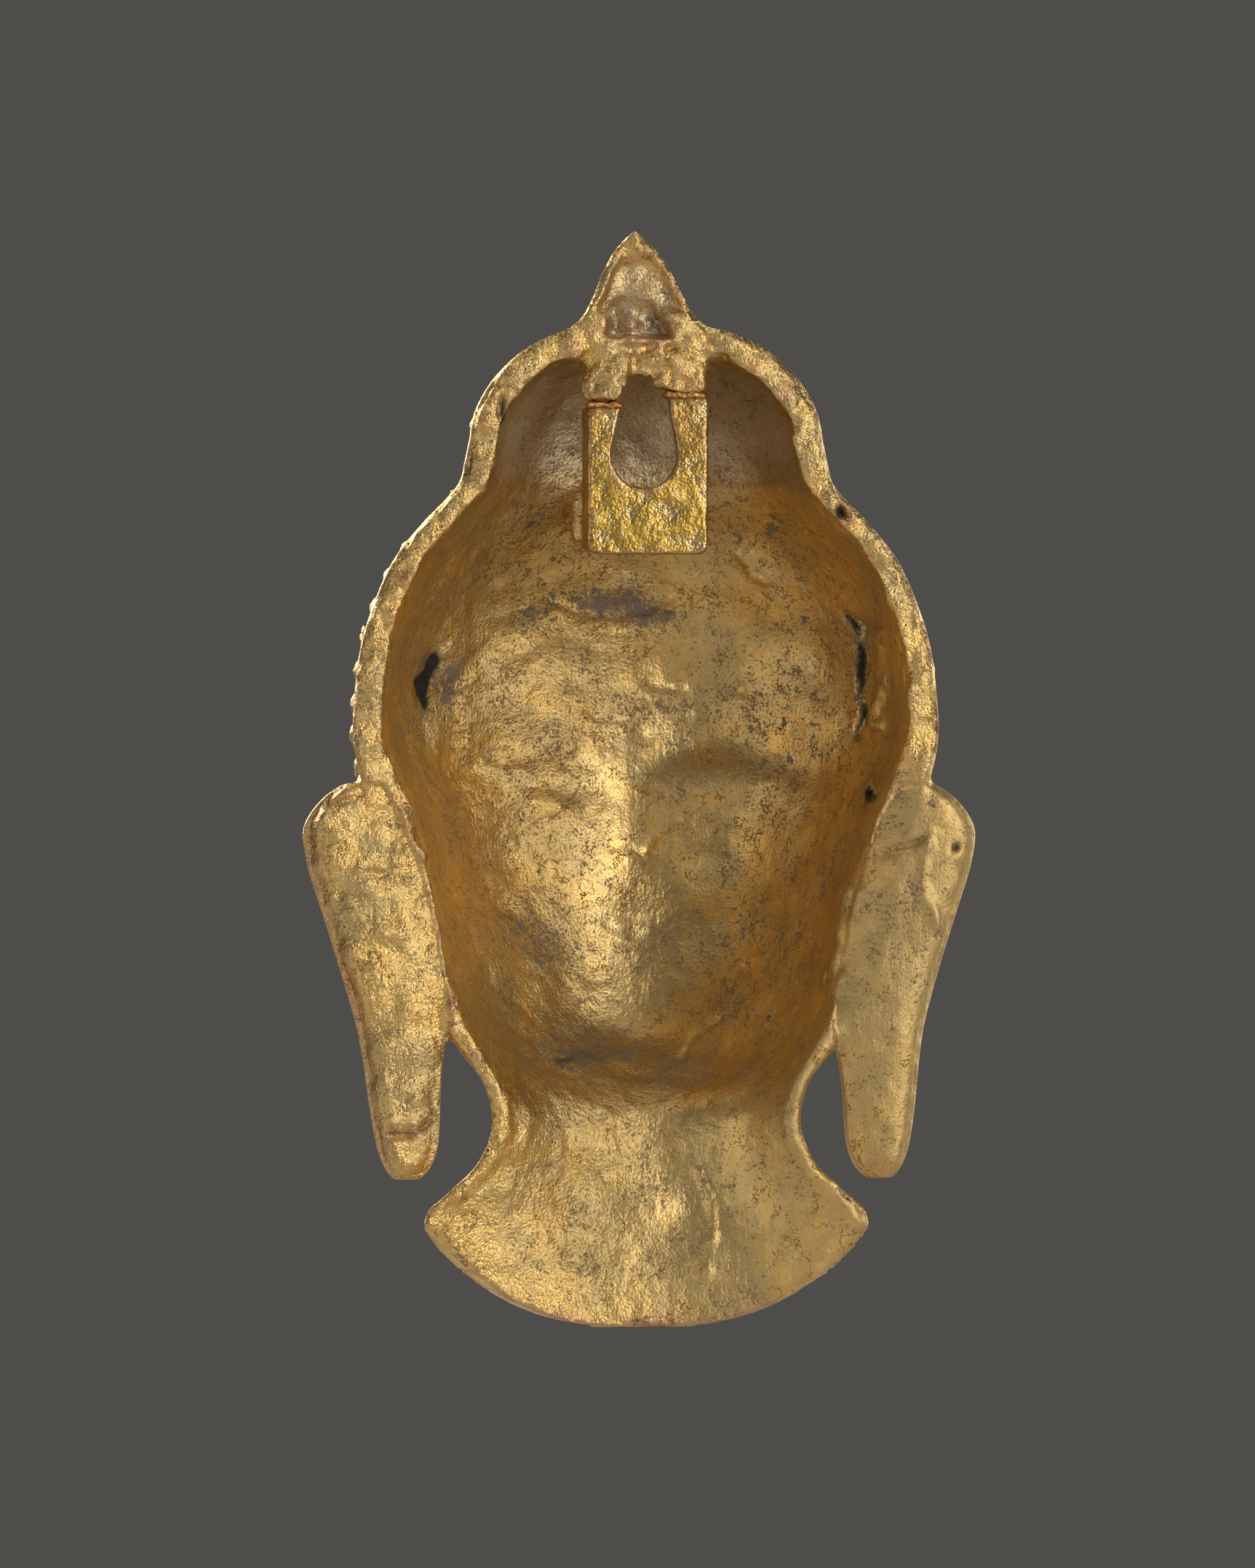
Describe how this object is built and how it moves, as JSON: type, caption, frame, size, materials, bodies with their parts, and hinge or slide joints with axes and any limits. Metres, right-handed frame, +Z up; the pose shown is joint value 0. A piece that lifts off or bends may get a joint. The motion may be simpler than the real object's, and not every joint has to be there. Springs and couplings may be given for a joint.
{
  "type": "buddha head wall hanging",
  "caption": "Hollow cast brass Buddha head for a wall, open at the back, with a brazed tab under the crown that hangs it on a nail.",
  "frame": {"origin": "the place where a nail bears: the top of the hole above the tab, in the wall plane", "axes": "+Z up to the finial, +Y into the wall, the face looks along -Y, +X at the left of a viewer standing behind the plaque"},
  "size_m": [0.0982, 0.0456, 0.16],
  "materials": {
    "cast_brass": "as-cast brass with brown and grey patina, worn bright on the edges",
    "tab_brass": "filed brass, olive-yellow, worn bright on the edges"
  },
  "bodies": {
    "root": {"head_casting": "cast_brass", "hanging_tab": "tab_brass"}
  },
  "joints": []
}
